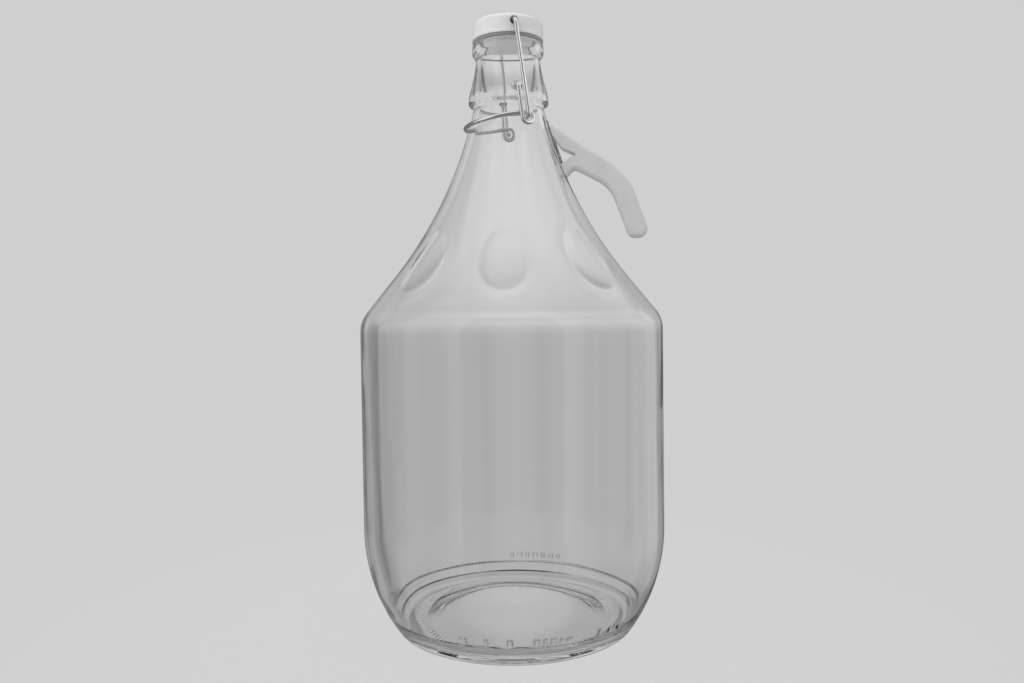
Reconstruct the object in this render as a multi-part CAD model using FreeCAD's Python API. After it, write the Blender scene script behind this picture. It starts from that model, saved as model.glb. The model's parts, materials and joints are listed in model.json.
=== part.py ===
import FreeCAD, Part
import math
import os
from FreeCAD import Vector

# A five-litre glass carboy: blown bottle, plastic carrying handle, wire swing-top closure.
# Millimetres. Z is the bottle's axis, z = 0 is the face it stands on, +X is the handle's side.

# Bottle body
BODY_R = 91.0
WALL = 3.2
FOOT_IN_R = 55.0
FOOT_OUT_R = 70.5
FOOT_ROUND = 6.0
HEEL_Z = 29.5
HEEL_ROUND = 102.0
SHOULDER_Z = 185.1
SHOULDER_ROUND = 18.0
CONE_END_R = 35.5
CONE_END_Z = 254.05
SWEEP_ROUND = 251.0
PUNT_STEP_R = 40.0
PUNT_STEP_Z = 4.6
PUNT_TOP_Z = 6.5
FLOOR_GLASS = 4.5
INNER_HEEL_Z = 31.0
INNER_HEEL_ROUND = 96.0
INNER_FOOT_R = 69.5
INNER_FOOT_ROUND = 20.0
SHOULDER_THINNING = 1.2
CONE_THINNING = 1.6

# Neck, its ring and the mouth
NECK_FOOT_R = 21.05
NECK_FOOT_Z = 312.4
RING_R = 24.1
RING_LOW_Z = 314.6
RING_HIGH_Z = 317.4
NECK_WIDE_R = 23.5
NECK_WIDE_Z = 320.6
NECK_FLARE_R = 20.5
NECK_FLARE_Z = 331.5
NECK_FLARE_ROUND = 100.0
NECK_THIN_R = 19.15
NECK_THIN_Z = 341.3
FINISH_R = 21.5
FINISH_LOW_Z = 344.4
LIP_R = 20.6
LIP_Z = 350.35
LIP_DROP = 1.3
BORE_R = 16.6
BORE_FOOT_Z = 315.5
MOUTH_CHAMFER = 1.2

# Thumb dents in the shoulder: three on each half of the mould, clear of the handle's seam
DENT_ANGLES = (-135, -90, -45, 45, 90, 135)
DENT_Z = 218.0
DENT_BALL_R = 85.0
DENT_DEPTH = 2.1

# Dovetail rail on the glass that the handle clips on to
RAIL_TOP = Vector(24.4, 0, 305.0)
RAIL_FOOT = Vector(35.4, 0, 269.5)
RAIL_FACE_W = 7.0
RAIL_ROOT_W = 5.4
RAIL_NECK_DEPTH = 1.3
RAIL_DEPTH = 3.2

# Handle: a hook with a forked root, and the heights where the fork's two ends meet the rail
HANDLE_W = 11.0
HANDLE_ROUND = 2.6
HOOK_BEND = Vector(70.9, 0, 271.6)
HOOK_TIP_OUT = Vector(84.7, 0, 233.4)
HOOK_TIP_IN = Vector(71.9, 0, 233.6)
HOOK_INSIDE = Vector(60.7, 0, 264.1)
HOOK_ROOT = Vector(39.4, 0, 275.4)
FORK_TIP = Vector(41.6, 0, 283.2)
FORK_LOW = Vector(36.2, 0, 281.3)
FORK_HIGH = Vector(32.0, 0, 287.6)
UPPER_END = (303.2, 296.3)
LOWER_END = (278.3, 270.2)
CHEEK_DEPTH = 1.1
CLIP_GAP = 0.08
SKIN_GAP = 0.2

# Closure: its pivot axis is turned from the handle's plane, like the neck ring it sits in
CLOSURE_TURN = 15.8
WIRE_R = 1.2
PIVOT_X = 0.5
PIVOT_Z = 321.5
PIN_TIP_Y = 19.8
PIN_FIT = 0.08
PIN_END_GAP = 0.4
RECESS_STRAIGHT = 1.5
RECESS_MOUTH_R = 3.2
RECESS_MOUTH_Y = 23.0
ARM_Y = 25.2
EYE_X = 5.7
EYE_Z = 302.0
EYE_R = 3.4
EYE_Y = 26.8
EYE_LEAN = 1.7
EYE_LEAN_ANGLE = 225.0
BOW_REACH = 32.4
BOW_DROP_ANGLE = 8.9
WIRE_BEND = 2.2

# Bail
BAR_X = -0.5
BAR_Z = 358.8
BAIL_TOP_Y = 24.4
BAIL_FOOT_Y = 31.0
BAIL_TIP_Y = 24.9
BAIL_TOP_BEND = 3.2

# Stopper
CAP_R = 21.3
CAP_RIM_R = 21.55
CAP_RIM_H = 1.6
CAP_FOOT_Z = 352.1
CAP_TOP_Z = 364.0
CAP_DOME = 0.6
CAP_EDGE_ROUND = 3.0
PLUG_TOP_R = 15.4
PLUG_FOOT_R = 14.4
PLUG_FOOT_Z = 348.0
CAP_SINK_R = 3.3
CAP_SINK_DEPTH = 3.0
GASKET_R = 20.9
GASKET_THICK = 1.25
GASKET_FIT = 0.05


def corner_arc(before, corner, after, radius):
    """Start, middle, end and centre of the arc that rounds a corner."""
    to_before = (before - corner).normalize()
    to_after = (after - corner).normalize()
    half_angle = to_before.getAngle(to_after) / 2
    bisector = (to_before + to_after).normalize()
    reach = radius / math.tan(half_angle)
    centre = corner + bisector * (radius / math.sin(half_angle))
    start = corner + to_before * reach
    end = corner + to_after * reach
    return start, centre - bisector * radius, end, centre


def add_line(edges, start, end):
    """Add a straight edge unless its ends meet."""
    if (end - start).Length > 1e-6:
        edges.append(Part.LineSegment(start, end).toShape())


def rounded_wire(corners, closed):
    """Wire through (point, radius) corners: straight runs joined by tangent arcs."""
    edges = []
    count = len(corners)
    first = 0 if closed else 1
    last = count if closed else count - 1
    pen = None if closed else corners[0][0]
    opening = None
    for i in range(first, last):
        corner, radius = corners[i]
        start = middle = end = corner
        if radius > 0:
            before = corners[i - 1][0]
            after = corners[(i + 1) % count][0]
            start, middle, end, _ = corner_arc(before, corner, after, radius)
        if pen is None:
            opening = start
        else:
            add_line(edges, pen, start)
        if radius > 0:
            edges.append(Part.Arc(start, middle, end).toShape())
        pen = end
    add_line(edges, pen, opening if closed else corners[-1][0])
    return Part.Wire(edges)


def turned(profile):
    """Solid of revolution about Z from (r, z, round) corners that run from axis to axis."""
    corners = [(Vector(r, 0, z), rounding) for r, z, rounding in profile]
    outline = rounded_wire(corners, closed=False)
    axis = Part.LineSegment(corners[-1][0], corners[0][0]).toShape()
    face = Part.Face(Part.Wire(outline.Edges + [axis]))
    return face.revolve(Vector(0, 0, 0), Vector(0, 0, 1), 360)


def tube(corners):
    """Round wire of radius WIRE_R along (point, bend radius) corners."""
    path = rounded_wire(corners, closed=False)
    start = corners[0][0]
    along = corners[1][0] - start
    section = Part.Wire(Part.Circle(start, along, WIRE_R).toShape())
    return path.makePipeShell([section], True, False)


def mirrored(shape):
    """The same shape on the closure's other side."""
    return shape.mirror(Vector(0, 0, 0), Vector(0, 1, 0))


def placed_closure(shape):
    """Turn a closure piece from its own X-Z plane to where it sits on the bottle."""
    turned_shape = shape.copy()
    turned_shape.rotate(Vector(0, 0, 0), Vector(0, 0, 1), CLOSURE_TURN)
    return turned_shape


def outer_profile():
    """Outside of the bottle as (r, z, rounding) corners, from the push-up to the mouth."""
    return [
        (0, PUNT_TOP_Z, 0),
        (PUNT_STEP_R, PUNT_STEP_Z, 6),
        (FOOT_IN_R, 0, 4),
        (FOOT_OUT_R, 0, FOOT_ROUND),
        (BODY_R, HEEL_Z, HEEL_ROUND),
        (BODY_R, SHOULDER_Z, SHOULDER_ROUND),
        (CONE_END_R, CONE_END_Z, SWEEP_ROUND),
        (NECK_FOOT_R, NECK_FOOT_Z, 2.2),
        (RING_R, RING_LOW_Z, 1.4),
        (RING_R, RING_HIGH_Z, 1.4),
        (NECK_WIDE_R, NECK_WIDE_Z, 2),
        (NECK_FLARE_R, NECK_FLARE_Z, NECK_FLARE_ROUND),
        (NECK_THIN_R, NECK_THIN_Z, 5),
        (FINISH_R, FINISH_LOW_Z, 1.6),
        (FINISH_R, LIP_Z - LIP_DROP, 0.6),
        (LIP_R, LIP_Z, 0.6),
        (0, LIP_Z, 0),
    ]


def cavity_profile():
    """Inside of the bottle, from the floor to the mouth."""
    return [
        (0, PUNT_TOP_Z + FLOOR_GLASS, 0),
        (PUNT_STEP_R, PUNT_STEP_Z + FLOOR_GLASS, 12),
        (INNER_FOOT_R, FLOOR_GLASS, INNER_FOOT_ROUND),
        (BODY_R - WALL, INNER_HEEL_Z, INNER_HEEL_ROUND),
        (BODY_R - WALL, SHOULDER_Z - SHOULDER_THINNING, SHOULDER_ROUND - WALL),
        (CONE_END_R - WALL, CONE_END_Z - CONE_THINNING, SWEEP_ROUND),
        (BORE_R, BORE_FOOT_Z, 25),
        (BORE_R, LIP_Z - MOUTH_CHAMFER, 0),
        (BORE_R + MOUTH_CHAMFER, LIP_Z, 0),
        (0, LIP_Z, 0),
    ]


def shoulder_sweep_centre():
    """Centre of the long concave arc that leads the shoulder into the neck."""
    before = Vector(BODY_R, 0, SHOULDER_Z)
    corner = Vector(CONE_END_R, 0, CONE_END_Z)
    after = Vector(NECK_FOOT_R, 0, NECK_FOOT_Z)
    return corner_arc(before, corner, after, SWEEP_ROUND)[3]


def dent_balls(extra_radius):
    """Balls that press the oval dents, grown by extra_radius for the inner wall."""
    sweep = shoulder_sweep_centre()
    tilt = math.asin((sweep.z - DENT_Z) / SWEEP_ROUND)
    outward = Vector(math.cos(tilt), 0, math.sin(tilt))
    surface = sweep - outward * SWEEP_ROUND
    centre = surface + outward * (DENT_BALL_R - DENT_DEPTH)
    balls = []
    for angle in DENT_ANGLES:
        ball = Part.makeSphere(DENT_BALL_R + extra_radius, centre)
        ball.rotate(Vector(0, 0, 0), Vector(0, 0, 1), angle)
        balls.append(ball)
    return balls


def rail_frame():
    """Directions of the rail: down its length, out of the glass, and across."""
    down = (RAIL_FOOT - RAIL_TOP).normalize()
    across = Vector(0, 1, 0)
    out = across.cross(down) * -1
    return down, out, across


def dovetail(grow, depth):
    """Dovetail bar along the rail, its root reaching this deep, grown on every side."""
    down, out, across = rail_frame()
    face = RAIL_FACE_W / 2 + grow
    root = RAIL_ROOT_W / 2 + grow
    start = RAIL_TOP - down * grow
    outline = [
        start + across * face + out * grow,
        start + across * root - out * RAIL_NECK_DEPTH,
        start + across * root - out * depth,
        start - across * root - out * depth,
        start - across * root - out * RAIL_NECK_DEPTH,
        start - across * face + out * grow,
    ]
    section = Part.Face(Part.makePolygon(outline + [outline[0]]))
    length = (RAIL_FOOT - RAIL_TOP).Length + 2 * grow
    return section.extrude(down * length)


def pivot_recess():
    """Blind recess in the neck for one end of the lever wire."""
    bottom_y = PIN_TIP_Y - PIN_END_GAP
    hole_r = WIRE_R + PIN_FIT
    along = Vector(0, 1, 0)
    bottom = Vector(PIVOT_X, bottom_y, PIVOT_Z)
    straight = Part.makeCylinder(hole_r, RECESS_STRAIGHT, bottom, along)
    sink_y = bottom_y + RECESS_STRAIGHT
    sink = Part.makeCone(hole_r, RECESS_MOUTH_R, RECESS_MOUTH_Y - sink_y,
                         Vector(PIVOT_X, sink_y, PIVOT_Z), along)
    relief = Part.makeCylinder(RECESS_MOUTH_R, 3, Vector(PIVOT_X, RECESS_MOUTH_Y, PIVOT_Z), along)
    return straight.fuse([sink, relief])


def glass_bottle():
    skin = turned(outer_profile()).cut(dent_balls(0))
    cavity = turned(cavity_profile()).cut(dent_balls(WALL))
    rail = dovetail(0, RAIL_DEPTH)
    recess = pivot_recess()
    recesses = [placed_closure(recess), placed_closure(mirrored(recess))]
    return skin.fuse(rail).cut([cavity] + recesses)


def rail_point(height, gap):
    """Point on the rail's outer face at this height, standing off by a gap."""
    share = (RAIL_TOP.z - height) / (RAIL_TOP.z - RAIL_FOOT.z)
    out = rail_frame()[1]
    return RAIL_TOP + (RAIL_FOOT - RAIL_TOP) * share + out * gap


def handle_outline():
    """Hook outline in the X-Z plane: over the top, round the tip, back under and the fork."""
    reach = -CHEEK_DEPTH
    return [
        (rail_point(UPPER_END[0], reach), 0),
        (HOOK_BEND, 40),
        (HOOK_TIP_OUT, 5),
        (HOOK_TIP_IN, 4.5),
        (HOOK_INSIDE, 22),
        (HOOK_ROOT, 3.2),
        (rail_point(LOWER_END[1], reach), 0),
        (rail_point(LOWER_END[0], reach), 0),
        (FORK_LOW, 3),
        (FORK_TIP, 0.9),
        (FORK_HIGH, 4),
        (rail_point(UPPER_END[1], reach), 0),
    ]


def handle_bar():
    """The hook itself, with its long edges rounded beyond the fork."""
    wire = rounded_wire(handle_outline(), closed=True)
    flat = Part.Face(wire)
    flat.translate(Vector(0, -HANDLE_W / 2, 0))
    bar = flat.extrude(Vector(0, HANDLE_W, 0))
    edges = []
    for edge in bar.Edges:
        box = edge.BoundBox
        if box.YLength < 1e-6 and box.XMax > FORK_TIP.x:
            edges.append(edge)
    return bar.makeFillet(HANDLE_ROUND, edges)


def carry_handle():
    """Hook whose forked root is slotted for the rail and shaped to the glass beside it."""
    channel = dovetail(CLIP_GAP, RAIL_DEPTH)
    neck = turned(outer_profile())
    neck.translate(Vector(SKIN_GAP, 0, 0))
    return handle_bar().cut([channel, neck]).removeSplitter()


def eye_point(angle):
    """Centre line of the leaning eye of the lever wire at an angle in its X-Z view."""
    turn = math.radians(angle)
    lean = math.cos(math.radians(angle - EYE_LEAN_ANGLE))
    x = EYE_X + EYE_R * math.cos(turn)
    z = EYE_Z + EYE_R * math.sin(turn)
    return Vector(x, EYE_Y + EYE_LEAN * lean, z)


def eye_start_angle():
    """Angle at which the straight arm from the pivot touches the eye."""
    dx = PIVOT_X - EYE_X
    dz = PIVOT_Z - EYE_Z
    toward_pivot = math.atan2(dz, dx)
    return math.degrees(toward_pivot + math.acos(EYE_R / math.hypot(dx, dz)))


def lever_side():
    """Pivot end, arm and eye of the lever wire on one side."""
    start_angle = eye_start_angle()
    tangent = eye_point(start_angle)
    pin = Vector(PIVOT_X, PIN_TIP_Y, PIVOT_Z)
    elbow = Vector(PIVOT_X, ARM_Y, PIVOT_Z)
    arm = tube([(pin, 0), (elbow, WIRE_BEND), (tangent, 0)])
    middle = eye_point((start_angle + 450) / 2)
    end = eye_point(450)
    arc = Part.Wire(Part.Arc(tangent, middle, end).toShape())
    heading = arc.Edges[0].tangentAt(arc.Edges[0].FirstParameter)
    section = Part.Wire(Part.Circle(tangent, heading, WIRE_R).toShape())
    eye = arc.makePipeShell([section], True, True)
    joints = [Part.makeSphere(WIRE_R, tangent), Part.makeSphere(WIRE_R, end)]
    return arm.fuse([eye] + joints)


def lever_bow():
    """Bow from eye to eye round the back of the neck, in one leaning plane."""
    start = eye_point(450)
    slope = math.radians(BOW_DROP_ANGLE)
    toward_back = Vector(-math.cos(slope), 0, -math.sin(slope))
    root = Vector(start.x, 0, start.z)
    side = Vector(0, start.y, 0)
    bend = root + toward_back * (BOW_REACH - start.y)
    path = Part.Wire([
        Part.LineSegment(root + side, bend + side).toShape(),
        Part.Arc(bend + side, root + toward_back * BOW_REACH, bend - side).toShape(),
        Part.LineSegment(bend - side, root - side).toShape(),
    ])
    section = Part.Wire(Part.Circle(start, toward_back, WIRE_R).toShape())
    return path.makePipeShell([section], True, False)


def lever_wire():
    side = lever_side()
    return placed_closure(side.fuse([mirrored(side), lever_bow()]))


def bail_wire():
    top = Vector(BAR_X, BAIL_TOP_Y, BAR_Z)
    foot = Vector(EYE_X, BAIL_FOOT_Y, EYE_Z)
    tip = Vector(EYE_X, BAIL_TIP_Y, EYE_Z)
    half = [(tip, 0), (foot, WIRE_BEND), (top, BAIL_TOP_BEND)]
    other = [(Vector(p.x, -p.y, p.z), r) for p, r in reversed(half)]
    return placed_closure(tube(half + other))


def stopper_cap():
    profile = [
        (0, PLUG_FOOT_Z, 0),
        (PLUG_FOOT_R, PLUG_FOOT_Z, 1),
        (PLUG_TOP_R, CAP_FOOT_Z, 0),
        (CAP_RIM_R, CAP_FOOT_Z, 0.3),
        (CAP_RIM_R, CAP_FOOT_Z + CAP_RIM_H, 0.2),
        (CAP_R, CAP_FOOT_Z + CAP_RIM_H + 0.2, 0),
        (CAP_R, CAP_TOP_Z - CAP_DOME, CAP_EDGE_ROUND),
        (0, CAP_TOP_Z, 0),
    ]
    blank = turned(profile)
    axis = Vector(0, 1, 0)
    hole = Part.makeCylinder(WIRE_R + PIN_FIT, 4 * CAP_R, Vector(BAR_X, -2 * CAP_R, BAR_Z), axis)
    sink = Part.makeCone(WIRE_R + PIN_FIT, CAP_SINK_R, CAP_SINK_DEPTH,
                         Vector(BAR_X, CAP_R - CAP_SINK_DEPTH, BAR_Z), axis)
    relief = Part.makeCylinder(CAP_SINK_R, 2, Vector(BAR_X, CAP_R, BAR_Z), axis)
    cuts = [hole, sink, relief, mirrored(sink), mirrored(relief)]
    return placed_closure(blank.cut(cuts))


def gasket():
    bottom = Vector(0, 0, CAP_FOOT_Z - GASKET_THICK)
    ring = Part.makeCylinder(GASKET_R, GASKET_THICK, bottom)
    hole = Part.makeCylinder(PLUG_TOP_R + GASKET_FIT, GASKET_THICK, bottom)
    return ring.cut(hole)


def write_step(name, shape):
    solids = shape.Solids
    print(name, len(solids), "solid(s)", "valid" if shape.isValid() else "INVALID",
          round(shape.Volume / 1000, 2), "cm3")
    single = solids[0] if len(solids) == 1 else shape
    single.exportStep("parts/" + name + ".step")


def main():
    os.makedirs("parts", exist_ok=True)
    write_step("glass_bottle", glass_bottle())
    write_step("carry_handle", carry_handle())
    write_step("lever_wire", lever_wire())
    write_step("bail_wire", bail_wire())
    write_step("stopper_cap", stopper_cap())
    write_step("gasket", gasket())
    print("inside volume", round(turned(cavity_profile()).cut(dent_balls(WALL)).Volume / 1e6, 3), "litres")


main()
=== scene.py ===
import json
import math

import bpy
import numpy as np
from mathutils import Matrix, Vector


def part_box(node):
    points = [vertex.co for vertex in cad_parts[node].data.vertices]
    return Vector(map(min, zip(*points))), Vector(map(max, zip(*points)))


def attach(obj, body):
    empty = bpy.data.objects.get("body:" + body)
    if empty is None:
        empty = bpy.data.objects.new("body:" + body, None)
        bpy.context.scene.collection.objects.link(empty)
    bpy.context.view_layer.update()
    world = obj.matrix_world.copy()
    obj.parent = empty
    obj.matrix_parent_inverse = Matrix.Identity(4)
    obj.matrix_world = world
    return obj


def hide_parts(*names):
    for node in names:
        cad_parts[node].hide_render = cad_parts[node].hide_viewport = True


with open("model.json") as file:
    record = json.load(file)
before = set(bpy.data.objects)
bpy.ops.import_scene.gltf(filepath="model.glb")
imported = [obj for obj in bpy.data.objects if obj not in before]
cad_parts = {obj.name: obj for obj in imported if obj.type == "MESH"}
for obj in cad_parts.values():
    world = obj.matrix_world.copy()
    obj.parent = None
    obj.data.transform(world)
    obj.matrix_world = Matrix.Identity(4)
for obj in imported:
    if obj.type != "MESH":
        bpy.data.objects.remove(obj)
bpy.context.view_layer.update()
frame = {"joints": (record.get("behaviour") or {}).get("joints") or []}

# Lengths are in millimetres until a mesh is made, and MM turns them into metres.
MM = 0.001

# ---------------------------------------------------------------- sizes read from the frame
glass_low, glass_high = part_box("glass_bottle")
cap_low, cap_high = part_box("stopper_cap")
gasket_low, gasket_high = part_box("gasket")
joints = {j["name"]: j for j in frame["joints"]}

BODY_R = glass_high.y / MM
LIP_Z = glass_high.z / MM
CAP_TOP_Z = cap_high.z / MM
CAP_FOOT_Z = gasket_high.z / MM
GASKET_R = gasket_high.y / MM
PLUG_FOOT_Z = cap_low.z / MM

closure_axis = Vector(joints["lever_swing"]["axis"])
CLOSURE_TURN = math.atan2(-closure_axis.x, closure_axis.y)


def in_closure(joint):
    """A joint's place in the closure's own X-Z plane."""
    at = Vector(joints[joint]["pos_m"]) / MM
    x = at.x * math.cos(CLOSURE_TURN) + at.y * math.sin(CLOSURE_TURN)
    return x, at.z


PIVOT_X, PIVOT_Z = in_closure("lever_swing")
EYE_X, EYE_Z = in_closure("bail_swing")
BAR_X, BAR_Z = in_closure("stopper_tilt")

# ---------------------------------------------------------------- camera
CAMERA_AT = Vector((0.03719, -0.51052, 0.18924))
CAMERA_AHEAD = Vector((-0.07231, 0.99680, -0.03414))
CAMERA_UP = Vector((0.01082, 0.03501, 0.99933))
FOCAL_OVER_WIDTH = 0.81859
SENSOR = 36.0


def make_camera():
    """The camera, at the height and slight roll that the bottle was seen from."""
    data = bpy.data.cameras.new("camera")
    data.sensor_width = SENSOR
    data.lens = SENSOR * FOCAL_OVER_WIDTH
    camera = bpy.data.objects.new("camera", data)
    right = CAMERA_AHEAD.cross(CAMERA_UP).normalized()
    up = right.cross(CAMERA_AHEAD).normalized()
    turn = Matrix((right, up, -CAMERA_AHEAD.normalized())).transposed()
    camera.matrix_world = Matrix.Translation(CAMERA_AT) @ turn.to_4x4()
    bpy.context.scene.collection.objects.link(camera)
    bpy.context.scene.camera = camera


make_camera()

# ---------------------------------------------------------------- outlines


def corner_arc(before, corner, after, radius):
    """Start, end and centre of the arc that rounds a corner."""
    before, corner, after = (np.asarray(p, float) for p in (before, corner, after))
    to_before = (before - corner) / np.linalg.norm(before - corner)
    to_after = (after - corner) / np.linalg.norm(after - corner)
    half = math.acos(max(-1.0, min(1.0, float(to_before @ to_after)))) / 2
    bisector = (to_before + to_after) / np.linalg.norm(to_before + to_after)
    reach = radius / math.tan(half)
    centre = corner + bisector * radius / math.sin(half)
    return corner + to_before * reach, corner + to_after * reach, centre


def arc_points(start, end, centre, spacing):
    """Points along the shorter arc from start to end, no further apart than spacing."""
    a = start - centre
    b = end - centre
    radius = np.linalg.norm(a)
    angle = math.acos(max(-1.0, min(1.0, float(a @ b) / radius**2)))
    steps = max(2, math.ceil(radius * angle / spacing))
    shares = np.linspace(0, 1, steps + 1)[:, None]
    return centre + (np.sin((1 - shares) * angle) * a + np.sin(shares * angle) * b) / math.sin(angle)


def straight_points(start, end, spacing):
    steps = max(1, math.ceil(np.linalg.norm(end - start) / spacing))
    return start + (end - start) * np.linspace(0, 1, steps + 1)[:, None]


def rounded_path(corners, spacing, arc_spacing=None, closed=False):
    """Points through (point, radius) corners: straight runs joined by tangent arcs."""
    arc_spacing = arc_spacing or spacing
    points = [np.asarray(c[0], float) for c in corners]
    count = len(points)
    pieces = []
    for i, (_, radius) in enumerate(corners):
        inner = closed or 0 < i < count - 1
        if radius > 0 and inner:
            start, end, centre = corner_arc(points[i - 1], points[i], points[(i + 1) % count], radius)
            pieces.append(arc_points(start, end, centre, arc_spacing))
        else:
            pieces.append(points[i][None, :])
    line = []
    for i, piece in enumerate(pieces):
        line.append(piece)
        if closed or i < count - 1:
            run = straight_points(piece[-1], pieces[(i + 1) % count][0], spacing)
            line.append(run[1:-1])
    path = np.concatenate(line)
    keep = np.ones(len(path), bool)
    keep[1:] = np.linalg.norm(np.diff(path, axis=0), axis=1) > 1e-6
    return path[keep]


# ---------------------------------------------------------------- mesh makers


def new_object(name, points, faces, smooth=True):
    """A mesh object from points in millimetres."""
    mesh = bpy.data.meshes.new(name)
    mesh.from_pydata([tuple(p) for p in np.asarray(points, float) * MM], [], [tuple(f) for f in faces])
    mesh.validate()
    mesh.update()
    if smooth:
        mesh.shade_smooth()
    made = bpy.data.objects.new(name, mesh)
    bpy.context.scene.collection.objects.link(made)
    return made


def ring_faces(low, n_low, high, n_high):
    """Faces between two closed rings whose point counts are equal or a whole multiple."""
    faces = []
    if n_low == n_high:
        for i in range(n_low):
            j = (i + 1) % n_low
            faces.append((low + i, low + j, high + j, high + i))
        return faces
    if n_low > n_high:
        flipped = ring_faces(high, n_high, low, n_low)
        return [tuple(reversed(f)) for f in flipped]
    ratio = n_high // n_low
    for i in range(n_low):
        j = (i + 1) % n_low
        outer = [high + (i * ratio + k) % n_high for k in range(ratio + 1)]
        half = ratio // 2
        for k in range(half):
            faces.append((low + i, outer[k + 1], outer[k]))
        faces.append((low + i, low + j, outer[half]))
        for k in range(half, ratio):
            faces.append((low + j, outer[k + 1], outer[k]))
    return faces


def lathe(profile, counts, closed=False):
    """Points, faces, ring and angle of a turned surface. Radius 0 at an end makes a pole."""
    points, faces, rows, angles = [], [], [], []
    starts = []
    for row, ((r, z), n) in enumerate(zip(profile, counts)):
        starts.append(len(points))
        turns = np.arange(1 if r < 1e-6 else n) * 2 * math.pi / n
        points += [(r * math.cos(t), r * math.sin(t), z) for t in turns]
        rows += [row] * len(turns)
        angles += list(turns)
    last = len(profile) - 1
    for row in range(len(profile) if closed else last):
        a, b = row, (row + 1) % len(profile)
        n_a = 1 if profile[a][0] < 1e-6 else counts[a]
        n_b = 1 if profile[b][0] < 1e-6 else counts[b]
        if n_a == 1 or n_b == 1:
            n = max(n_a, n_b)
            pole, ring = (starts[a], starts[b]) if n_a == 1 else (starts[b], starts[a])
            for i in range(n):
                j = (i + 1) % n
                face = (pole, ring + j, ring + i)
                faces.append(face if n_a == 1 else tuple(reversed(face)))
        else:
            faces += ring_faces(starts[a], n_a, starts[b], n_b)
    return np.array(points), faces, np.array(rows), np.array(angles)


def tube(path, radius, sides=20, end_round=0.5):
    """Points and faces of a round wire along a path, with rounded ends."""
    path = np.asarray(path, float)
    steps = np.gradient(path, axis=0)
    along = steps / np.linalg.norm(steps, axis=1)[:, None]
    across = np.cross(along[0], (0.31, 0.72, 0.62))
    across /= np.linalg.norm(across)
    frames = []
    for i, direction in enumerate(along):
        across = across - direction * (across @ direction)
        across /= np.linalg.norm(across)
        frames.append((across, np.cross(direction, across)))
    turns = np.arange(sides) * 2 * math.pi / sides
    rings = []
    cap_turns = np.linspace(0, math.pi / 2, 6)[1:]
    bulge = radius * end_round
    for turn in reversed(cap_turns):
        end_r = radius * (1 - end_round * (1 - math.cos(turn)))
        rings.append((path[0] - along[0] * bulge * math.sin(turn), 0, end_r))
    for i in range(len(path)):
        rings.append((path[i], i, radius))
    for turn in cap_turns:
        end_r = radius * (1 - end_round * (1 - math.cos(turn)))
        rings.append((path[-1] + along[-1] * bulge * math.sin(turn), len(path) - 1, end_r))
    points, faces = [], []
    for centre, i, r in rings:
        u, v = frames[i]
        for turn in turns:
            points.append(centre + r * (u * math.cos(turn) + v * math.sin(turn)))
    for row in range(len(rings) - 1):
        faces += ring_faces(row * sides, sides, (row + 1) * sides, sides)
    faces.append(tuple(reversed(range(sides))))
    top = (len(rings) - 1) * sides
    faces.append(tuple(range(top, top + sides)))
    return np.array(points), faces


def turned_closure(points):
    """Points of a closure piece, from its own X-Z plane to where it sits on the bottle."""
    c, s = math.cos(CLOSURE_TURN), math.sin(CLOSURE_TURN)
    points = np.asarray(points, float)
    x, y, z = points.T
    return np.stack([x * c - y * s, x * s + y * c, z], 1)


def resampled(path, spacing_at):
    """The path with points as far apart as spacing_at says at each place."""
    steps = np.linalg.norm(np.diff(path, axis=0), axis=1)
    middles = (path[1:] + path[:-1]) / 2
    weight = np.concatenate([[0], np.cumsum([d / spacing_at(r, z) for d, (r, z) in zip(steps, middles)])])
    wanted = np.linspace(0, weight[-1], max(2, round(weight[-1])) + 1)
    return np.stack([np.interp(wanted, weight, path[:, 0]), np.interp(wanted, weight, path[:, 1])], 1)


def smooth_step(low, high, value):
    t = np.clip((np.asarray(value, float) - low) / (high - low), 0, 1)
    return t * t * (3 - 2 * t)


# ---------------------------------------------------------------- glass bottle

WALL = 3.2
FOOT_IN_R = 55.0
FOOT_OUT_R = 70.5
HEEL_Z = 29.5
SHOULDER_Z = 185.1
CONE_END = (35.5, 254.05)
SWEEP_ROUND = 251.0
NECK_FOOT = (21.05, 312.4)
BORE_R = 16.6
DENT_ANGLES = (-134, -89, -44.5, 46, 91, 136)
DENT_Z = 218.0
DENT_BALL_R = 85.0
DENT_DEPTH = 2.1
FAR_DENTS = 0.3
FAR_SOFTENING = 0.8
RAIL_TOP = np.array((24.4, 0, 305.0))
RAIL_FOOT = np.array((35.4, 0, 269.5))
RAIL_HALF = 3.5
MARK_HEIGHT = 0.6
MARK_Z = 17.0
MARK_BAND = (14.2, 19.8)
MARK_CIRCLE_R = 80.0
MARK_SLOPE = 0.82
FOOT_GROOVES = 128
FOOT_GROOVE_DEPTH = 0.15
GROOVES_FROM = (54.0, 55.2)
GROOVES_TO = (58.2, 59.4)
INSIDE_SHIFT = 0.9
HEEL_SHIFT = 0.9

# A recess's surface: how far out it lies, by the distance from the pivot's axis.
RECESS_REACH = (0, 1.2, 1.6, 3.2, 4.2)
RECESS_FLOOR = (19.4, 19.5, 20.9, 22.9, 30.0)

# Distance between the rings of the mesh, up to each height, outside and inside the wall.
OUTER_RINGS = (
    (MARK_BAND[0], 2.0), (MARK_BAND[1], 0.46), (62, 3.2), (176, 8.0), (197, 1.8), (240, 1.35),
    (262, 3.0), (310, 4.2), (327, 0.6), (340, 2.6), (LIP_Z + 1, 0.6))
INNER_RINGS = ((26, 2.4), (62, 4.5), (166, 8.0), (198, 1.8), (300, 3.6), (345, 4.2), (LIP_Z + 1, 0.8))
DENT_BAND = (190, 242)
RECESS_BAND = (316, 327)
PLAIN_COUNT = 192


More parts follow.
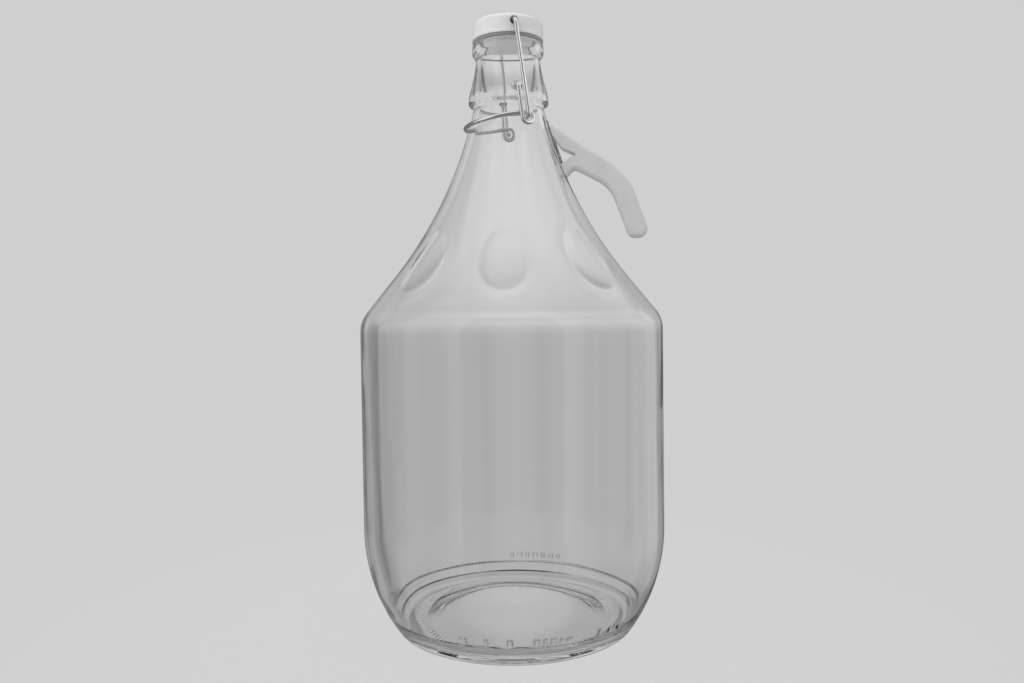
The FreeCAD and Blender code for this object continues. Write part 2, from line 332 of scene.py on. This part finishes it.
def outer_corners():
    return [
        ((0, 6.5), 0),
        ((40.0, 4.6), 6),
        ((FOOT_IN_R, 0), 4),
        ((FOOT_OUT_R, 0), 6),
        ((BODY_R, HEEL_Z), 102),
        ((BODY_R, SHOULDER_Z), 18),
        (CONE_END, SWEEP_ROUND),
        (NECK_FOOT, 2.2),
        ((24.1, 314.6), 1.4),
        ((24.1, 317.4), 1.4),
        ((23.5, 320.6), 2),
        ((20.5, 331.5), 100),
        ((19.15, 341.3), 5),
        ((21.5, 344.4), 1.6),
        ((21.5, LIP_Z - 1.3), 0.6),
        ((20.6, LIP_Z), 0.6),
        ((BORE_R + 1.2, LIP_Z), 0),
    ]


def inner_corners():
    """The inner wall, from the mouth down to the middle of the floor."""
    return [
        ((BORE_R + 1.2, LIP_Z), 0),
        ((BORE_R, LIP_Z - 1.2), 1.2),
        ((BORE_R, 315.5), 25),
        ((CONE_END[0] - WALL, CONE_END[1] - 1.6), SWEEP_ROUND),
        ((BODY_R - WALL, SHOULDER_Z - 1.2), 14.8),
        ((BODY_R - WALL, 31.0), 96),
        ((69.5, 4.5), 20),
        ((40.0, 9.1), 12),
        ((0, 11.0), 0),
    ]


def ring_spacing(rings, z):
    return next(spacing for top, spacing in rings if z < top)


def under_punt(r, z):
    return z < 7 and r < 53


def on_foot_edge(r, z):
    return z < 2 and r < 60


def outer_spacing(r, z):
    if under_punt(r, z):
        return 5.0
    if on_foot_edge(r, z):
        return 0.9
    return ring_spacing(OUTER_RINGS, z)


def inner_spacing(r, z):
    return ring_spacing(INNER_RINGS, z)


def outer_count(r, z):
    """Points in a ring: more where the foot's grooves, the marks, the dents and the recesses are."""
    if under_punt(r, z):
        return PLAIN_COUNT
    if on_foot_edge(r, z):
        return 4 * PLAIN_COUNT
    if z < MARK_BAND[0]:
        return 2 * PLAIN_COUNT
    if z < MARK_BAND[1]:
        return 6 * PLAIN_COUNT
    if DENT_BAND[0] < z < DENT_BAND[1] or RECESS_BAND[0] < z < RECESS_BAND[1]:
        return 2 * PLAIN_COUNT
    return PLAIN_COUNT


def sweep_centre():
    return corner_arc((BODY_R, SHOULDER_Z), CONE_END, NECK_FOOT, SWEEP_ROUND)[2]


def press_dents(points, normals, ball_r, soften):
    """Press the oval thumb dents into the cone. Those on the far half are shallow and blurred."""
    centre = sweep_centre()
    tilt = math.asin((centre[1] - DENT_Z) / SWEEP_ROUND)
    out = np.array((math.cos(tilt), math.sin(tilt)))
    ball = centre - out * (SWEEP_ROUND - DENT_BALL_R + DENT_DEPTH)
    for angle in DENT_ANGLES:
        turn = math.radians(angle)
        at = np.array((ball[0] * math.cos(turn), ball[0] * math.sin(turn), ball[1]))
        away = points - at
        along = (away * normals).sum(1)
        room = along**2 - (away**2).sum(1) + ball_r**2
        near = (room > 0) & (along < 0)
        depth = np.where(near, along + np.sqrt(np.maximum(room, 0)), 0)
        far_half = angle > 0
        round_off = soften + (FAR_SOFTENING if far_half else 0)
        depth = 0.5 * (depth + np.sqrt(depth**2 + round_off**2))
        depth *= FAR_DENTS if far_half else 1
        depth = np.where(near & (depth > 0.01), depth, 0)
        points = points - normals * depth[:, None]
    return points


def raise_rail(points, normals):
    """Raise the rib that the handle clips on to."""
    down = (RAIL_FOOT - RAIL_TOP) / np.linalg.norm(RAIL_FOOT - RAIL_TOP)
    out = np.array((-down[2], 0, down[0]))
    length = np.linalg.norm(RAIL_FOOT - RAIL_TOP)
    along = (points - RAIL_TOP) @ down
    short = -((points - RAIL_TOP) @ out) / np.maximum(normals @ out, 0.3)
    across = 1 - smooth_step(RAIL_HALF - 2.2, RAIL_HALF + 0.3, np.abs(points[:, 1]))
    ends = smooth_step(-0.6, 0.8, along) * (1 - smooth_step(length - 1.5, length, along))
    front = points[:, 0] > 0
    lift = np.where(front, across * ends * np.maximum(short, 0), 0)
    return points + normals * lift[:, None]


def sink_recesses(points):
    """Sink the two blind recesses that hold the ends of the lever wire."""
    c, s = math.cos(CLOSURE_TURN), math.sin(CLOSURE_TURN)
    x = points[:, 0] * c + points[:, 1] * s
    y = -points[:, 0] * s + points[:, 1] * c
    reach = np.hypot(x - PIVOT_X, points[:, 2] - PIVOT_Z)
    floor = np.interp(reach, RECESS_REACH, RECESS_FLOOR)
    near = (reach < RECESS_REACH[-1]) & (np.abs(y) > 15)
    y = np.where(near, np.sign(y) * np.minimum(np.abs(y), floor), y)
    return np.stack([x * c - y * s, x * s + y * c, points[:, 2]], 1)


def heel_marks():
    """Generic raised bars round the heel: (angle in degrees, half width, half height)."""
    marks = []
    for i, width in enumerate((1.6, 0.6, 1.0)):
        marks.append((-106 + i * 9.0, width, 2.2))
    for i in range(5):
        marks.append((-78 + i * 3.2, 0.55 if i % 2 else 1.1, 2.2 if i < 3 else 1.2))
    for i in range(3):
        marks.append((-52 + i * 5.0, 0.6, 2.2 - 0.5 * i))
    for i in range(7):
        marks.append((72 + i * 4.0, 0.6 + 0.5 * (i % 2), 1.8))
    return marks


def raise_marks(points, normals):
    lift = np.zeros(len(points))
    angle = np.degrees(np.arctan2(points[:, 1], points[:, 0]))
    up = (points[:, 2] - MARK_Z) / MARK_SLOPE
    for at, half_width, half_height in heel_marks():
        across = np.radians((angle - at + 180) % 360 - 180) * MARK_CIRCLE_R
        beside = np.maximum(np.abs(across) - half_width, 0)
        above = np.maximum(np.abs(up) - half_height, 0)
        lift = np.maximum(lift, 1 - smooth_step(0, 0.6, np.hypot(beside, above)))
    near = (points[:, 2] > MARK_BAND[0] - 1) & (points[:, 2] < MARK_BAND[1] + 1)
    return points + normals * (MARK_HEIGHT * lift * near)[:, None]


def knurl_foot(points, angles):
    """Fine grooves pressed across the inner edge of the foot ring."""
    r = np.hypot(points[:, 0], points[:, 1])
    band = smooth_step(*GROOVES_FROM, r) * (1 - smooth_step(*GROOVES_TO, r)) * (points[:, 2] < 1.5)
    groove = 0.5 + 0.5 * np.cos(FOOT_GROOVES * angles)
    lifted = points.copy()
    lifted[:, 2] += FOOT_GROOVE_DEPTH * band * groove
    return lifted


def uneven_inside(points):
    """A blown bottle's inner wall is off centre, most of all at the heel, and gently rippled."""
    z = points[:, 2]
    angle = np.arctan2(points[:, 1], points[:, 0])
    share = smooth_step(20, 60, z) * (1 - smooth_step(190, 300, z))
    ripple = 0.10 * np.sin(3 * angle + 0.8) * np.sin(z / 41 + 0.4)
    ripple += 0.02 * np.sin(5 * angle + z / 60 + 2.1) + 0.06 * np.sin(2 * angle - z / 33)
    r = np.hypot(points[:, 0], points[:, 1])
    out = points[:, :2] / np.maximum(r, 1e-6)[:, None]
    moved = points.copy()
    moved[:, :2] += out * (ripple * share * smooth_step(5, 30, r))[:, None]
    moved[:, 0] += INSIDE_SHIFT * share
    moved[:, 0] += HEEL_SHIFT * smooth_step(6, 18, z) * (1 - smooth_step(30, 62, z))
    return moved


def row_normals(profile):
    """Outward direction of each row of a turned surface, in its r-z plane."""
    steps = np.gradient(profile, axis=0)
    steps /= np.linalg.norm(steps, axis=1)[:, None]
    return np.stack([steps[:, 1], -steps[:, 0]], 1)


def turned_normals(profile, rows, angles):
    flat = row_normals(profile)[rows]
    return np.stack([flat[:, 0] * np.cos(angles), flat[:, 0] * np.sin(angles), flat[:, 1]], 1)


def make_bottle():
    outer = resampled(rounded_path(outer_corners(), 0.2, 0.1), outer_spacing)
    inner = resampled(rounded_path(inner_corners(), 0.2, 0.1), inner_spacing)[1:]
    profile = np.concatenate([outer, inner])
    profile[0, 0] = profile[-1, 0] = 0
    counts = [outer_count(r, z) for r, z in outer] + [PLAIN_COUNT] * len(inner)
    points, faces, rows, angles = lathe(profile, counts)
    normals = turned_normals(profile, rows, angles)
    outside = rows < len(outer)
    skin = points[outside]
    skin = press_dents(skin, normals[outside], DENT_BALL_R, 0.12)
    skin = raise_rail(skin, normals[outside])
    skin = raise_marks(skin, normals[outside])
    skin = knurl_foot(skin, angles[outside])
    points[outside] = sink_recesses(skin)
    inside = ~outside
    lining = press_dents(points[inside], -normals[inside], DENT_BALL_R + WALL, 1.0)
    points[inside] = uneven_inside(lining)
    return new_object("bottle_glass", points, faces)


# ---------------------------------------------------------------- wire closure

WIRE_R = 1.2
ARM_Y = 25.2
EYE_R = 3.4
EYE_Y = 26.8
EYE_LEAN = 1.35
BAIL_TOP_Y = 24.4
BAIL_FOOT_Y = 31.0
BAIL_TIP_Y = 24.9
BOW_REACH = 32.4
BOW_DROP = math.radians(8.9)


def eye_start():
    """Angle at which the straight arm from the pivot touches the eye."""
    dx, dz = PIVOT_X - EYE_X, PIVOT_Z - EYE_Z
    return math.atan2(dz, dx) + math.acos(EYE_R / math.hypot(dx, dz))


def lever_half():
    """Centre line of half the lever wire: pivot end, arm, eye, and the bow up to its middle."""
    start = eye_start()
    end = math.radians(450)
    turns = np.linspace(start, end, 60)
    share = (turns - start) / (end - start)
    eye_y = EYE_Y + EYE_LEAN * np.cos(math.pi * share)
    eye = np.stack([EYE_X + EYE_R * np.cos(turns), eye_y, EYE_Z + EYE_R * np.sin(turns)], 1)
    elbow = (PIVOT_X, ARM_Y, PIVOT_Z)
    arm = rounded_path([((PIVOT_X, 19.8, PIVOT_Z), 0), (elbow, 2.2), (tuple(eye[0]), 0)], 0.7, 0.35)
    bow_y = eye[-1, 1]
    run = BOW_REACH - bow_y
    down = np.array((-math.cos(BOW_DROP), 0, -math.sin(BOW_DROP)))
    straight = eye[-1] + down * np.linspace(0, run, 10)[1:, None]
    turns = np.linspace(0, math.pi / 2, 46)[1:]
    bend = straight[-1] - (0, bow_y, 0) + bow_y * (
        down * np.sin(turns)[:, None] + np.array((0, 1, 0)) * np.cos(turns)[:, None])
    return np.concatenate([arm[:-1], eye, straight, bend])


def make_lever():
    half = lever_half()
    other = (half * (1, -1, 1))[::-1][1:]
    points, faces = tube(turned_closure(np.concatenate([half, other])), WIRE_R)
    return new_object("lever_bow_wire", points, faces)


def make_bail():
    top = (BAR_X, BAIL_TOP_Y, BAR_Z)
    foot = (EYE_X, BAIL_FOOT_Y, EYE_Z)
    tip = (EYE_X, BAIL_TIP_Y, EYE_Z)
    side = [(tip, 0), (foot, 2.2), (top, 3.2)]
    other = [((x, -y, z), r) for (x, y, z), r in reversed(side)]
    path = rounded_path(side + other, 1.5, 0.3)
    points, faces = tube(turned_closure(path), WIRE_R)
    return new_object("bail_wire_loop", points, faces)


# ---------------------------------------------------------------- stopper

CAP_R = 21.3
CAP_RIM_R = 21.55
PLUG_TOP_R = 15.4
PLUG_FOOT_R = 14.4
STOPPER_COUNT = 160


def cap_corners():
    return [
        ((0, PLUG_FOOT_Z), 0),
        ((PLUG_FOOT_R, PLUG_FOOT_Z), 1.2),
        ((PLUG_TOP_R, CAP_FOOT_Z), 0.2),
        ((CAP_RIM_R, CAP_FOOT_Z), 0.35),
        ((CAP_RIM_R, CAP_FOOT_Z + 1.6), 0.25),
        ((CAP_R, CAP_FOOT_Z + 1.8), 0.1),
        ((CAP_R, CAP_TOP_Z - 0.6), 3.0),
        ((0, CAP_TOP_Z), 0),
    ]


def cut(target, tool):
    """Cut one closed mesh out of another and keep the result as plain mesh."""
    modifier = target.modifiers.new("cut", "BOOLEAN")
    modifier.operation = "DIFFERENCE"
    modifier.solver = "EXACT"
    modifier.object = tool
    bpy.context.view_layer.update()
    done = bpy.data.meshes.new_from_object(target.evaluated_get(bpy.context.evaluated_depsgraph_get()))
    target.modifiers.clear()
    target.data = done
    bpy.data.objects.remove(tool)


def cross_hole():
    """Turned tool for the hole across the cap and the countersink at each end."""
    side = [(2.9, CAP_R + 3), (2.6, CAP_R), (1.3, CAP_R - 2.4)]
    near_end = [(0, -CAP_R - 3)] + [(r, -y) for r, y in side]
    outline = near_end + [(r, -y) for r, y in reversed(near_end)]
    points, faces, _, _ = lathe(np.array(outline, float), [48] * len(outline))
    across = np.stack([points[:, 0] + BAR_X, points[:, 2], -points[:, 1] + BAR_Z], 1)
    return new_object("cross_hole_tool", turned_closure(across), faces)


def make_cap():
    path = rounded_path(cap_corners(), 1.0, 0.25)
    path[0, 0] = path[-1, 0] = 0
    points, faces, _, _ = lathe(path, [STOPPER_COUNT] * len(path))
    cap = new_object("stopper_cap_shell", points, faces)
    cut(cap, cross_hole())
    cap.data.shade_smooth()
    cap.data.set_sharp_from_angle(angle=math.radians(38))
    return cap


def make_gasket():
    bottom = LIP_Z + 0.03
    top = CAP_FOOT_Z - 0.02
    corners = [
        ((PLUG_TOP_R + 0.1, bottom), 0.3),
        ((GASKET_R - 0.1, bottom), 0.6),
        ((GASKET_R + 0.15, (bottom + top) / 2), 1.2),
        ((GASKET_R - 0.1, top), 0.6),
        ((PLUG_TOP_R + 0.1, top), 0.3),
    ]
    path = rounded_path(corners, 0.8, 0.12, closed=True)
    points, faces, _, _ = lathe(path, [STOPPER_COUNT] * len(path), closed=True)
    return new_object("rubber_gasket", points, faces)


# ---------------------------------------------------------------- materials


def new_material(name, roughness, colour=(0.8, 0.8, 0.8), **sockets):
    """A Principled material with its constants on the shader's own sockets."""
    material = bpy.data.materials.new(name)
    material.use_nodes = True
    shader = material.node_tree.nodes["Principled BSDF"]
    shader.inputs["Base Color"].default_value = (*colour, 1)
    shader.inputs["Roughness"].default_value = roughness
    for socket, value in sockets.items():
        shader.inputs[socket.replace("_", " ")].default_value = value
    return material, material.node_tree.nodes, material.node_tree.links, shader


def object_coordinates(nodes, links, scale):
    """Object-space coordinates, in units of 1/scale metres."""
    place = nodes.new("ShaderNodeTexCoord")
    mapping = nodes.new("ShaderNodeMapping")
    mapping.inputs["Scale"].default_value = scale
    links.new(place.outputs["Object"], mapping.inputs["Vector"])
    return mapping.outputs["Vector"]


def noise(nodes, links, vector, detail=3.0, roughness=0.5):
    texture = nodes.new("ShaderNodeTexNoise")
    texture.inputs["Scale"].default_value = 1.0
    texture.inputs["Detail"].default_value = detail
    texture.inputs["Roughness"].default_value = roughness
    links.new(vector, texture.inputs["Vector"])
    return texture.outputs["Fac"]


def ramp(nodes, links, value, low, high):
    """Map 0.3..0.7 of a noise value to low..high, as a number or a grey."""
    span = nodes.new("ShaderNodeMapRange")
    span.inputs["From Min"].default_value = 0.3
    span.inputs["From Max"].default_value = 0.7
    span.inputs["To Min"].default_value = low
    span.inputs["To Max"].default_value = high
    links.new(value, span.inputs["Value"])
    return span.outputs["Result"]


def bump(nodes, links, height, shader, distance, strength=1.0):
    node = nodes.new("ShaderNodeBump")
    node.inputs["Distance"].default_value = distance
    node.inputs["Strength"].default_value = strength
    links.new(height, node.inputs["Height"])
    links.new(node.outputs["Normal"], shader.inputs["Normal"])


def glass_material():
    """Clear pressed and blown glass, a little wavy. Lamp light and fill light pass straight through."""
    material, nodes, links, shader = new_material(
        "clear_glass", 0.0, (0.975, 0.975, 0.975), Transmission_Weight=1.0, IOR=1.5)
    waves = noise(nodes, links, object_coordinates(nodes, links, (26, 26, 11)), 1.5)
    bump(nodes, links, waves, shader, 0.0004)
    path = nodes.new("ShaderNodeLightPath")
    lamp = nodes.new("ShaderNodeMath")
    lamp.operation = "MAXIMUM"
    links.new(path.outputs["Is Shadow Ray"], lamp.inputs[0])
    links.new(path.outputs["Is Diffuse Ray"], lamp.inputs[1])
    clear = nodes.new("ShaderNodeBsdfTransparent")
    clear.inputs["Color"].default_value = (0.97, 0.97, 0.97, 1)
    mix = nodes.new("ShaderNodeMixShader")
    links.new(lamp.outputs[0], mix.inputs["Fac"])
    links.new(shader.outputs[0], mix.inputs[1])
    links.new(clear.outputs[0], mix.inputs[2])
    links.new(mix.outputs[0], nodes["Material Output"].inputs["Surface"])
    return material


def wire_material():
    """Bright drawn steel wire with fine marks from the die."""
    material, nodes, links, shader = new_material("drawn_steel_wire", 0.3, (0.5, 0.5, 0.5), Metallic=1.0)
    vector = object_coordinates(nodes, links, (500, 500, 160))
    marks = noise(nodes, links, vector, 4.0, 0.6)
    links.new(ramp(nodes, links, marks, 0.24, 0.36), shader.inputs["Roughness"])
    tones = noise(nodes, links, object_coordinates(nodes, links, (140, 140, 60)), 3.0)
    links.new(ramp(nodes, links, tones, 0.6, 0.76), shader.inputs["Base Color"])
    bump(nodes, links, marks, shader, 0.00001)
    return material


def cap_material():
    """White moulded plastic with a faint mould texture."""
    material, nodes, links, shader = new_material(
        "white_moulded_plastic", 0.38, (0.8, 0.8, 0.8),
        Subsurface_Weight=0.25, Subsurface_Scale=0.003, IOR=1.49)
    grain = noise(nodes, links, object_coordinates(nodes, links, (1400, 1400, 1400)), 4.0, 0.6)
    links.new(ramp(nodes, links, grain, 0.32, 0.48), shader.inputs["Roughness"])
    tones = noise(nodes, links, object_coordinates(nodes, links, (90, 90, 90)), 2.0)
    links.new(ramp(nodes, links, tones, 0.78, 0.83), shader.inputs["Base Color"])
    bump(nodes, links, grain, shader, 0.00004)
    return material


def gasket_material():
    """Dark grey sealing rubber, dull and slightly mottled."""
    material, nodes, links, shader = new_material("sealing_rubber", 0.62, (0.13, 0.13, 0.13))
    grain = noise(nodes, links, object_coordinates(nodes, links, (1600, 1600, 1600)), 5.0, 0.65)
    links.new(ramp(nodes, links, grain, 0.5, 0.75), shader.inputs["Roughness"])
    tones = noise(nodes, links, object_coordinates(nodes, links, (400, 400, 400)), 3.0)
    links.new(ramp(nodes, links, tones, 0.27, 0.35), shader.inputs["Base Color"])
    bump(nodes, links, grain, shader, 0.00005)
    return material


def handle_material():
    """Milky moulded plastic with soft flow marks."""
    material, nodes, links, shader = new_material(
        "milky_handle_plastic", 0.5, (0.6, 0.6, 0.6),
        Specular_IOR_Level=0.25, IOR=1.5)
    grain = noise(nodes, links, object_coordinates(nodes, links, (700, 700, 700)), 4.0, 0.6)
    links.new(ramp(nodes, links, grain, 0.45, 0.6), shader.inputs["Roughness"])
    flow = noise(nodes, links, object_coordinates(nodes, links, (60, 60, 34)), 3.0)
    links.new(ramp(nodes, links, flow, 0.6, 0.68), shader.inputs["Base Color"])
    bump(nodes, links, grain, shader, 0.00001)
    return material


def dress(piece, material):
    piece.data.materials.clear()
    piece.data.materials.append(material)


# ---------------------------------------------------------------- the object


bottle = make_bottle()
dress(bottle, glass_material())
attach(bottle, "bottle")
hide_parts("glass_bottle")

steel = wire_material()
lever = make_lever()
dress(lever, steel)
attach(lever, "lever")
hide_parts("lever_wire")

bail = make_bail()
dress(bail, steel)
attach(bail, "bail")
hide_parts("bail_wire")

cap = make_cap()
dress(cap, cap_material())
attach(cap, "stopper")
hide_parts("stopper_cap")

ring = make_gasket()
dress(ring, gasket_material())
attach(ring, "stopper")
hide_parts("gasket")

handle = bpy.data.objects["carry_handle"]
for slot in handle.material_slots:
    slot.material = handle_material()

# ---------------------------------------------------------------- floor, backdrop and light

BACKDROP = 0.624
FLOOR_R = 0.42
FLOOR_SHADE = 0.12
FLOOR_DROP = 0.0001
BOTTLE_MIDDLE = Vector((0, 0, 0.2))

# Tones of the studio as shares of the backdrop, with the angles in degrees where they change.
PANEL_EVERY = 45.0
PANEL_EDGE = (15.5, 19.5)
GAP_TOP = (8, 1)
GAP_FOOT = (-46, -36)
FOOT_RISE = (-44, -28)
FOOT_TONE = 0.5
PANEL_RISE = (-3, 6)
PANEL_FADE = (1, 9)
PANEL_SIDE = 0.84
PANEL_LOW = 0.76
PANEL_HIGH = 1.12
GAP_TONE = 0.2
REFLECT_LOW = 0.35
REFLECT_SIDE = 0.3
LEFT_BOX_FROM = 90.0
RIGHT_BOX_FROM = 45.0
BOX_TO = 143.0
BOX_SOFT = 9.0
BOX_TONE = 1.9
OVERHEAD = (38, 62)
OVERHEAD_TONE = 2.0
FILL_LOW = 0.75
FILL_HIGH = 1.6
FILL_SIDE = 0.12


def math_node(nodes, links, operation, *values):
    node = nodes.new("ShaderNodeMath")
    node.operation = operation
    for i, value in enumerate(values):
        if isinstance(value, (int, float)):
            node.inputs[i].default_value = value
        else:
            links.new(value, node.inputs[i])
    return node.outputs[0]


def soft_step(nodes, links, value, low, high):
    """0 below low, 1 above high and smooth between, for low under or over high."""
    span = nodes.new("ShaderNodeMapRange")
    span.interpolation_type = "SMOOTHSTEP"
    span.inputs["From Min"].default_value = low
    span.inputs["From Max"].default_value = high
    links.new(value, span.inputs["Value"])
    return span.outputs["Result"]


def make_world():
    """Four surroundings in one: an even backdrop for the camera, pale panels and dark gaps to
    see through the glass, bright strips and an overhead box to reflect, and soft fill light."""
    world = bpy.data.worlds.new("studio")
    world.use_nodes = True
    nodes, links = world.node_tree.nodes, world.node_tree.links
    nodes.clear()

    def calc(operation, *values):
        return math_node(nodes, links, operation, *values)

    def step(value, low, high):
        return soft_step(nodes, links, value, low, high)

    def blend(share, first, second):
        rest = calc("SUBTRACT", 1, share)
        return calc("ADD", calc("MULTIPLY", rest, first), calc("MULTIPLY", share, second))

    direction = nodes.new("ShaderNodeTexCoord").outputs["Generated"]
    axes = nodes.new("ShaderNodeVectorRotate")
    axes.rotation_type = "Z_AXIS"
    axes.inputs["Angle"].default_value = math.atan2(CAMERA_AHEAD.x, CAMERA_AHEAD.y)
    links.new(direction, axes.inputs["Vector"])
    parts = nodes.new("ShaderNodeSeparateXYZ")
    links.new(axes.outputs[0], parts.inputs[0])
    x, y, z = parts.outputs
    turn = calc("MULTIPLY", calc("ARCTAN2", calc("ABSOLUTE", x), calc("ABSOLUTE", y)), 180 / math.pi)
    height = calc("MULTIPLY", calc("ARCSINE", z), 180 / math.pi)

    half = PANEL_EVERY / 2
    off_panel = calc("ABSOLUTE", calc("SUBTRACT", calc("PINGPONG", calc("ADD", turn, half), half), half))
    panel = blend(step(height, *PANEL_RISE), PANEL_LOW, PANEL_HIGH)
    panel = blend(step(height, *FOOT_RISE), FOOT_TONE, panel)
    panel = calc("MULTIPLY", panel, blend(step(off_panel, *PANEL_FADE), 1, PANEL_SIDE))
    gap = calc("MULTIPLY", step(off_panel, *PANEL_EDGE), step(height, *GAP_TOP))
    gap = calc("MULTIPLY", gap, step(height, *GAP_FOOT))
    through = blend(gap, panel, GAP_TONE)

    from_ahead = calc("MULTIPLY", calc("ABSOLUTE", calc("ARCTAN2", x, y)), 180 / math.pi)
    right = calc("GREATER_THAN", x, 0)
    near_edge = calc("SUBTRACT", from_ahead, blend(right, LEFT_BOX_FROM, RIGHT_BOX_FROM))
    box = calc("MULTIPLY", step(near_edge, -BOX_SOFT, BOX_SOFT), step(from_ahead, BOX_TO + 3, BOX_TO - 3))
    box = calc("MULTIPLY", box, step(height, -34, -12))
    mirrored = blend(box, blend(step(height, -30, 20), REFLECT_LOW, REFLECT_SIDE), BOX_TONE)
    mirrored = blend(step(height, *OVERHEAD), mirrored, OVERHEAD_TONE)

    fill = blend(step(height, -60, 80), FILL_LOW, FILL_HIGH)
    fill = calc("MULTIPLY", fill, calc("ADD", 1, calc("MULTIPLY", x, -FILL_SIDE)))

    path = nodes.new("ShaderNodeLightPath")
    tone = blend(path.outputs["Is Glossy Ray"], fill, mirrored)
    tone = blend(path.outputs["Is Transmission Ray"], tone, through)
    tone = blend(path.outputs["Is Camera Ray"], tone, 1)
    background = nodes.new("ShaderNodeBackground")
    links.new(calc("MULTIPLY", tone, BACKDROP), background.inputs["Color"])
    output = nodes.new("ShaderNodeOutputWorld")
    links.new(background.outputs[0], output.inputs[0])
    bpy.context.scene.world = world


def disc(radius, sides):
    turns = np.arange(sides) * 2 * math.pi / sides
    return [(radius * math.cos(t), radius * math.sin(t), 0) for t in turns], [tuple(range(sides))]


def make_floor():
    """A plain pale floor that fades into the backdrop."""
    floor = new_object("floor", *disc(FLOOR_R / MM, 96), smooth=False)
    material = bpy.data.materials.new("pale_floor")
    material.use_nodes = True
    nodes, links = material.node_tree.nodes, material.node_tree.links
    nodes.clear()
    glow = nodes.new("ShaderNodeEmission")
    glow.inputs["Color"].default_value = (BACKDROP, BACKDROP, BACKDROP, 1)
    clear = nodes.new("ShaderNodeBsdfTransparent")
    matt = nodes.new("ShaderNodeBsdfDiffuse")
    matt.inputs["Color"].default_value = (0.8, 0.8, 0.8, 1)
    surface = nodes.new("ShaderNodeMixShader")
    surface.inputs["Fac"].default_value = FLOOR_SHADE
    links.new(glow.outputs[0], surface.inputs[1])
    links.new(matt.outputs[0], surface.inputs[2])
    place = nodes.new("ShaderNodeTexCoord")
    far = nodes.new("ShaderNodeVectorMath")
    far.operation = "LENGTH"
    links.new(place.outputs["Object"], far.inputs[0])
    edge = soft_step(nodes, links, far.outputs["Value"], 0.3 * FLOOR_R, 0.95 * FLOOR_R)
    below = nodes.new("ShaderNodeNewGeometry").outputs["Backfacing"]
    fade = nodes.new("ShaderNodeMixShader")
    links.new(math_node(nodes, links, "MAXIMUM", edge, below), fade.inputs["Fac"])
    links.new(surface.outputs[0], fade.inputs[1])
    links.new(clear.outputs[0], fade.inputs[2])
    output = nodes.new("ShaderNodeOutputMaterial")
    links.new(fade.outputs[0], output.inputs[0])
    dress(floor, material)
    floor.location.z = -FLOOR_DROP
    floor.visible_transmission = False
    floor.visible_glossy = False


def soft_light(name, place, size, watts):
    """A soft box aimed at the middle of the bottle, out of the camera's sight."""
    data = bpy.data.lights.new(name, "AREA")
    data.shape = "RECTANGLE"
    data.size, data.size_y = size
    data.energy = watts
    light = bpy.data.objects.new(name, data)
    aim = BOTTLE_MIDDLE - Vector(place)
    light.matrix_world = Matrix.Translation(place) @ aim.to_track_quat("-Z", "Y").to_matrix().to_4x4()
    light.visible_camera = False
    light.visible_transmission = False
    light.visible_glossy = False
    bpy.context.scene.collection.objects.link(light)


make_world()
make_floor()
soft_light("key_softbox", (-0.9, -1.0, 1.3), (0.7, 0.9), 5)

scene = bpy.context.scene
scene.view_settings.view_transform = "Standard"
scene.cycles.max_bounces = 32
scene.cycles.transmission_bounces = 32
scene.cycles.glossy_bounces = 32
scene.cycles.caustics_refractive = False
scene.cycles.caustics_reflective = False
